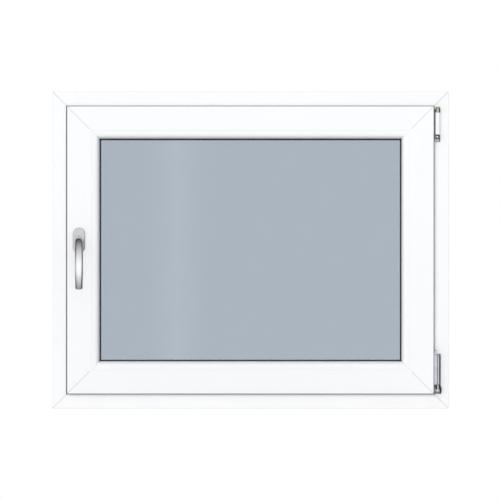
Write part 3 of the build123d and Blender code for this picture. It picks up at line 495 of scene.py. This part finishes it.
def lever_stations():
    """The path's stations as columns: place along Y and Z, how far the path has turned down, half
    the width and half the thickness there, and the superellipse's number. The path is a straight
    neck, an arc of the bend's radius, and a long arc whose radius makes the length and the
    projection come out right. The section eases from round to flat over the bend, as three times
    the square less twice the cube, and the tip is a quarter round: its width and thickness lose
    the radius times one less the cosine, while the path goes on by the radius times the sine."""
    drop = LEVER_LENGTH - TIP_ROUND - BEND_RADIUS * (1 - np.cos(BEND_TURN))
    arc = drop / (np.cos(BEND_TURN) + np.sin(TIP_LEAN))
    neck = PROJECTION - BEND_RADIUS * np.sin(BEND_TURN) - arc * (1 - np.sin(BEND_TURN))
    out = np.linspace(NECK_START, neck, NECK_STATIONS)[:-1]
    zero = np.zeros_like(out)
    straight = [sash_face - out, handle_z + zero, zero,
                NECK_RADIUS + zero, NECK_RADIUS + zero, 2 + zero]
    share = np.linspace(0, 1, BEND_STATIONS)
    turned = BEND_TURN * share
    bend_y = sash_face - neck - BEND_RADIUS * np.sin(turned)
    bend_z = handle_z - BEND_RADIUS * (1 - np.cos(turned))
    eased = share**2 * (3 - 2 * share)
    half_width = NECK_RADIUS + (GRIP_WIDTH / 2 - NECK_RADIUS) * eased
    half_depth = NECK_RADIUS + (GRIP_THICKNESS / 2 - NECK_RADIUS) * eased
    bend = [bend_y, bend_z, turned, half_width, half_depth, 2 + (GRIP_FULLNESS - 2) * eased]
    share = np.linspace(0, 1, GRIP_STATIONS)[1:]
    turned = BEND_TURN + (np.pi / 2 + TIP_LEAN - BEND_TURN) * share
    grip_y = bend_y[-1] - arc * (np.sin(turned) - np.sin(BEND_TURN))
    grip_z = bend_z[-1] - arc * (np.cos(BEND_TURN) - np.cos(turned))
    half_width = GRIP_WIDTH / 2 + (TIP_WIDTH - GRIP_WIDTH) / 2 * share**3
    half_depth = GRIP_THICKNESS / 2 + (TIP_THICKNESS - GRIP_THICKNESS) / 2 * share
    power = GRIP_FULLNESS + (TIP_FULLNESS - GRIP_FULLNESS) * share**2
    grip = [grip_y, grip_z, turned, half_width, half_depth, power]
    y, z, turned, half_width, half_depth, power = (rows[-1] for rows in grip)
    round_off = np.linspace(0, np.pi / 2, TIP_STATIONS)[1:]
    on, inward = TIP_ROUND * np.sin(round_off), TIP_ROUND * (1 - np.cos(round_off))
    zero = np.zeros_like(on)
    tip = [y - on * np.cos(turned), z - on * np.sin(turned), turned + zero,
           half_width - inward, half_depth - inward, power + zero]
    return [np.concatenate(parts) for parts in zip(straight, bend, grip, tip)]


def lever_rings():
    """A superellipse round each station: half the width times a power of the cosine, across, and
    half the thickness times a power of the sine, square to the path. The power is 2 over the
    station's number and the sign is kept."""
    y, z, turned, half_width, half_depth, power = (rows[:, None] for rows in lever_stations())
    angle = np.linspace(0, 2 * np.pi, POINTS_AROUND, endpoint=False)[None, :]
    across = half_width * np.sign(np.cos(angle)) * np.abs(np.cos(angle)) ** (2 / power)
    square = half_depth * np.sign(np.sin(angle)) * np.abs(np.sin(angle)) ** (2 / power)
    y, z = y - square * np.sin(turned), z + square * np.cos(turned)
    return np.stack([handle_x + across, y, z], axis=-1)


rings = lever_rings()
lever = closed_skin("handle_grip", rings, lever_silver, "handle")
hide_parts("handle_lever")
print("lever", [round(float(v) / MM, 1) for v in (*rings.min((0, 1)), *rings.max((0, 1)))])

# %% [markdown]
# The small fasteners are left to this script. Two countersunk screws with a cross recess hold
# the handle, a round-headed locking screw sits in the top hinge's waist, and a grub screw in
# the bottom hinge's leaf sets how hard the sash presses; its near black zinc is painted shade,
# the dark of the hole it sits in. Each is a disc of rings: a slightly crowned face with its
# recess pushed in, a rim, and a taper back into its hole. A boolean could cut the recess, but it
# leaves ragged faces at this size. Here the recess is one more term in the formula for the
# face's depth.


# %% Fasteners
FACE_RINGS, FACE_AROUND = 26, 72
MIDDLE_SHARE = 0.03
RIM_SHARE = 0.12


def step_down(value, start, end):
    """1 below start, 0 above end, and between them three times the square less twice the cube."""
    share = np.clip((end - value) / (end - start), 0, 1)
    return share * share * (3 - 2 * share)


def cross_recess(x, z, size):
    """1 inside a cross: the smaller of the two distances from the axes is under the arm's half
    width, and the larger one is under the arm's length, both as shares of the head's radius."""
    narrow, long = np.minimum(np.abs(x), np.abs(z)), np.maximum(np.abs(x), np.abs(z))
    return step_down(narrow, 0.1 * size, 0.26 * size) * step_down(long, 0.55 * size, 0.75 * size)


def hex_recess(x, z, size):
    """1 inside a hexagon: the largest of the distances along its three axes is under its half
    width, about half of the head's radius."""
    turns = np.radians([0, 60, 120]).reshape(3, 1, 1)
    away = np.abs(x * np.cos(turns) + z * np.sin(turns)).max(axis=0)
    return step_down(away, 0.48 * size, 0.62 * size)


def fastener(name, place, radius, crown, recess, recess_depth, back_radius, length, finish):
    """A head that faces the room at a place. The face's depth at a radius is the crown times the
    square of that radius over the head's, plus the recess. The last ring of the face drops by
    the rim's share of the radius, and one more ring is the far end, a length behind."""
    out = (radius * np.linspace(MIDDLE_SHARE, 1, FACE_RINGS))[:, None]
    angle = np.linspace(0, 2 * np.pi, FACE_AROUND, endpoint=False)[None, :]
    x, z = out * np.cos(angle), out * np.sin(angle)
    depth = crown * (out / radius) ** 2 + recess_depth * recess(x, z, radius)
    depth[-1] = crown + RIM_SHARE * radius
    back_x, back_z = back_radius * np.cos(angle), back_radius * np.sin(angle)
    back_depth = np.full_like(back_x, length)
    pairs = ((x, back_x), (z, back_z), (depth, back_depth))
    x, z, depth = (np.concatenate(parts) for parts in pairs)
    rings = np.stack([place[0] + x, place[1] + depth, place[2] + z], axis=-1)
    return closed_skin(name, rings, finish, "window")


LUG_SPACING = 43.0 * MM
for name, side in (("handle_screw_upper", 1), ("handle_screw_lower", -1)):
    place = (handle_x, rose_low[1] + 0.3 * MM, handle_z + side * LUG_SPACING / 2)
    fastener(name, place, radius=4.8 * MM, crown=0.15 * MM, recess=cross_recess,
             recess_depth=1.8 * MM, back_radius=2.5 * MM, length=3.2 * MM, finish=screw_zinc)
pin_low, pin_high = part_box("bottom_hinge_pin")
hinge_x, hinge_y = (pin_low[0] + pin_high[0]) / 2, (pin_low[1] + pin_high[1]) / 2
waist_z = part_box("top_hinge_cover")[0][2] - 5.75 * MM
place = (hinge_x - 1.5 * MM, hinge_y - 5.6 * MM, waist_z)
fastener("top_hinge_locking_screw", place, radius=2.6 * MM, crown=0.5 * MM, recess=hex_recess,
         recess_depth=0, back_radius=2.2 * MM, length=3.2 * MM, finish=screw_zinc)
band_low, band_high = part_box("bottom_hinge_band")
# The grub screw's dark finish is painted shade of its hole.
place = (hinge_x - 7.3 * MM, band_low[1] + 2.2 * MM, band_high[2] - 3.8 * MM)
fastener("bottom_hinge_grub_screw", place, radius=1.65 * MM, crown=0, recess=hex_recess,
         recess_depth=1.2 * MM, back_radius=1.65 * MM, length=6 * MM, finish=dark_zinc)
print("hinge axis at", round(hinge_x / MM, 1), round(hinge_y / MM, 1), "mm")
print("top hinge's waist at", round(waist_z / MM, 1), "mm up")

# %% [markdown]
# The room is a white studio. What lights matt surfaces is a soft dome that is strongest straight
# in front and behind, so the sash's step casts little shade by itself, and one wide lamp high on
# the left, which throws the sash's narrow shadow to the right and down. Curved metal needs dark
# places to reflect, so for glossy rays the dome has bands: bright in front, falling off quickly
# above and on the right, slower below and on the left. Panels round the window could give the
# same reflections, but they would light the matt bars too, and the world keeps the two apart.

# %% World
DOME_LEVEL = 0.885
GLOSS_LEVEL = 1.4
DOME_AHEAD = ((-1, 1.0), (-0.5, 0.62), (0, 0.4), (0.5, 0.62), (1, 1.0))
GLOSS_UP = ((-1, 0.15), (-0.6, 0.33), (-0.43, 0.54), (-0.3, 0.72), (-0.12, 0.96), (0.2, 1.0),
            (0.36, 0.88), (0.51, 0.72), (0.65, 0.54), (0.76, 0.34), (0.85, 0.17), (1, 0.08))
GLOSS_ASIDE = ((-1, 0.62), (-0.9, 0.7), (-0.7, 0.86), (-0.3, 1.0), (0.45, 1.0), (0.62, 0.85),
               (0.76, 0.3), (0.88, 0.06), (1, 0.04))
GLOSS_AHEAD = ((-1, 1.0), (-0.2, 1.0), (0.3, 0.35), (1, 0.3))


def light_along(tree, value, *stops):
    """Grey levels in linear light, at given places from -1 to 1 along a direction."""
    share = add(tree, "ShaderNodeMapRange", Value=value, From_Min=-1.0)
    color = add(tree, "ShaderNodeValToRGB", Fac=share)
    color.node.color_ramp.interpolation = "EASE"
    elements = color.node.color_ramp.elements
    while len(elements) < len(stops):
        elements.new(0.5)
    for element, (place, level) in zip(elements, stops):
        element.position = (place + 1) / 2
        element.color = (level, level, level, 1)
    return color


def make_world():
    """White for the camera and through glass, a soft dome for matt surfaces, bands for gloss. The
    bands' height is Z over the root of one less X squared, the rise seen from the side."""
    world = bpy.data.worlds.new("studio")
    bpy.context.scene.world = world
    world.use_nodes = True
    tree = world.node_tree
    tree.nodes.clear()
    path = add(tree, "ShaderNodeLightPath").node.outputs
    place = add(tree, "ShaderNodeTexCoord").node.outputs["Generated"]
    toward = add(tree, "ShaderNodeSeparateXYZ", Vector=place).node.outputs
    dome = light_along(tree, toward["Y"], *DOME_AHEAD)
    aside = add(tree, "ShaderNodeMath", {"operation": "MULTIPLY"}, in0=toward["X"], in1=toward["X"])
    rest = add(tree, "ShaderNodeMath", {"operation": "SUBTRACT"}, in0=1.0001, in1=aside)
    upright = add(tree, "ShaderNodeMath", {"operation": "SQRT"}, in0=rest)
    tilt = add(tree, "ShaderNodeMath", {"operation": "DIVIDE"}, in0=toward["Z"], in1=upright)
    height = light_along(tree, tilt, *GLOSS_UP)
    side = light_along(tree, toward["X"], *GLOSS_ASIDE)
    front = light_along(tree, toward["Y"], *GLOSS_AHEAD)
    product = {"data_type": "RGBA", "blend_type": "MULTIPLY"}
    level = add(tree, "ShaderNodeMix", product, in0=1.0, A=height, B=side)
    bands = add(tree, "ShaderNodeMix", product, in0=1.0, A=level, B=front)
    matt = add(tree, "ShaderNodeBackground", Color=dome, Strength=DOME_LEVEL)
    gloss = add(tree, "ShaderNodeBackground", Color=bands, Strength=GLOSS_LEVEL)
    white = add(tree, "ShaderNodeBackground", Color=linear("#FFFFFF"), Strength=1.0)
    lit = add(tree, "ShaderNodeMixShader", in0=path["Is Glossy Ray"], in1=matt, in2=gloss)
    seen = add(tree, "ShaderNodeMath", {"operation": "MAXIMUM"}, in0=path["Is Camera Ray"],
               in1=path["Is Transmission Ray"])
    output = tree.nodes.new("ShaderNodeOutputWorld")
    add(tree, "ShaderNodeMixShader", None, output.inputs["Surface"], in0=seen, in1=lit, in2=white)


make_world()
print("world made, dome", DOME_LEVEL, "gloss", GLOSS_LEVEL)

# %% [markdown]
# In the studio stand wide lamps, a pale floor, and behind the camera a tall lit strip like a
# doorway, which only the glass shows, as a faint upright band. The sash is 13.5 mm proud of the
# frame and its shadow is half gone 4.8 mm from the edge, so the key lamp shines along a slope of
# 0.36 to the right and down. In the photograph no shadow of the handle or hinges falls on the
# white bars, while the handle's own neck does shade its rose. Light linking gives both: the key
# lamp passes through the fittings, and a second one lights nothing but the metal ones. A third
# lamp shines from behind, so that the outdoor side looks white too.

# %% Lamps, floor and lit strip
STRIP_MIDDLE = -185.5 * MM
STRIP_HALF = 76 * MM
STRIP_LEVEL = 2.2
STRIP_DISTANCE = 4.5
STRIP_RISE, STRIP_HALF_HEIGHT = 0.4, 0.8
FLOOR_REACH = 14.0
SQUARE = ((-1, -1), (1, -1), (1, 1), (-1, 1))
FLOOR_PAPER = "#F2F2F2"
KEY_SLOPE = (0.36, 1.0, -0.36)
KEY_LEVEL = 1.42
KEY_ANGLE = 0.8
METAL_KEY_SHARE = 1.55
METAL_KEY_SPREAD = 0.5
BACK_SLOPE = (-0.3, -1.0, -0.4)
BACK_LEVEL = 1.0


def make_lamp(name, toward, energy, angle):
    """A wide distant lamp that shines along a direction, so all of the window gets the same light.
    Mirror-like surfaces don't show it, because the world's bands are what they reflect."""
    data = bpy.data.lights.new(name, "SUN")
    data.energy = energy
    data.angle = angle
    lamp = bpy.data.objects.new(name, data)
    bpy.context.scene.collection.objects.link(lamp)
    lamp.rotation_euler = Vector(toward).to_track_quat("-Z", "Y").to_euler()
    lamp.visible_glossy = False
    return lamp


def choose(name, pieces, state):
    """A list of pieces for a lamp: "INCLUDE" names the only ones and "EXCLUDE" all but them."""
    chosen = bpy.data.collections.new(name)
    for piece in pieces:
        chosen.objects.link(piece)
    for member in chosen.collection_objects:
        member.light_linking.link_state = state
    return chosen


def make_sheet(name, corners, material):
    """A flat four-cornered piece of the studio, which isn't part of the window."""
    data = bpy.data.meshes.new(name)
    data.from_pydata(corners, [], [(0, 1, 2, 3)])
    data.materials.append(material)
    sheet = bpy.data.objects.new(name, data)
    bpy.context.scene.collection.objects.link(sheet)
    return sheet


def lit_strip_material():
    """Emission that fades to clear at both sides: one less the distance from the strip's middle
    over its half width. It isn't sampled as a lamp, because only glossy rays meet it."""
    material = bpy.data.materials.new("lit_strip")
    material.cycles.emission_sampling = "NONE"
    material.use_nodes = True
    tree = material.node_tree
    tree.nodes.clear()
    place = add(tree, "ShaderNodeTexCoord").node.outputs["Object"]
    across = add(tree, "ShaderNodeSeparateXYZ", Vector=place).node.outputs["X"]
    beside = add(tree, "ShaderNodeMath", {"operation": "SUBTRACT"}, in0=across, in1=STRIP_MIDDLE)
    away = add(tree, "ShaderNodeMath", {"operation": "ABSOLUTE"}, in0=beside)
    fade = add(tree, "ShaderNodeMapRange", Value=away, From_Max=STRIP_HALF, To_Min=1.0, To_Max=0.0)
    clear = add(tree, "ShaderNodeBsdfTransparent")
    lit = add(tree, "ShaderNodeEmission", Color=linear("#FFFFFF"), Strength=STRIP_LEVEL)
    output = tree.nodes.new("ShaderNodeOutputMaterial")
    add(tree, "ShaderNodeMixShader", None, output.inputs["Surface"], in0=fade, in1=clear, in2=lit)
    return material


hardware = ("handle", "top_hinge", "bottom_hinge")
fittings = [o for o in bpy.context.scene.objects if o.name.startswith(hardware)]
metals = [piece for piece in fittings if piece.name != "top_hinge_cover"]
key = make_lamp("key", KEY_SLOPE, KEY_LEVEL, KEY_ANGLE)
key.light_linking.receiver_collection = choose("key_lights_not", metals, "EXCLUDE")
key.light_linking.blocker_collection = choose("key_passes", fittings, "EXCLUDE")
metal_key = make_lamp("metal_key", KEY_SLOPE, KEY_LEVEL * METAL_KEY_SHARE,
                      KEY_ANGLE * METAL_KEY_SPREAD)
metal_key.light_linking.receiver_collection = choose("metal_key_lights", metals, "INCLUDE")
back = make_lamp("back", BACK_SLOPE, BACK_LEVEL, KEY_ANGLE)
paper = new_material("paper", FLOOR_PAPER, 0.9)[0]
floor = make_sheet("floor", [(FLOOR_REACH * x, FLOOR_REACH * y, 0) for x, y in SQUARE], paper)
floor.visible_glossy = False
corners = [(STRIP_MIDDLE + STRIP_HALF * x, -STRIP_DISTANCE, STRIP_RISE + STRIP_HALF_HEIGHT * z)
           for x, z in SQUARE]
strip = make_sheet("lit_strip", corners, lit_strip_material())
for ray in ("camera", "diffuse", "transmission", "shadow"):
    setattr(strip, "visible_" + ray, False)
for lamp in (key, metal_key, back):
    print(lamp.name, round(lamp.data.energy, 2), "W/m2 over", round(lamp.data.angle, 2), "rad")
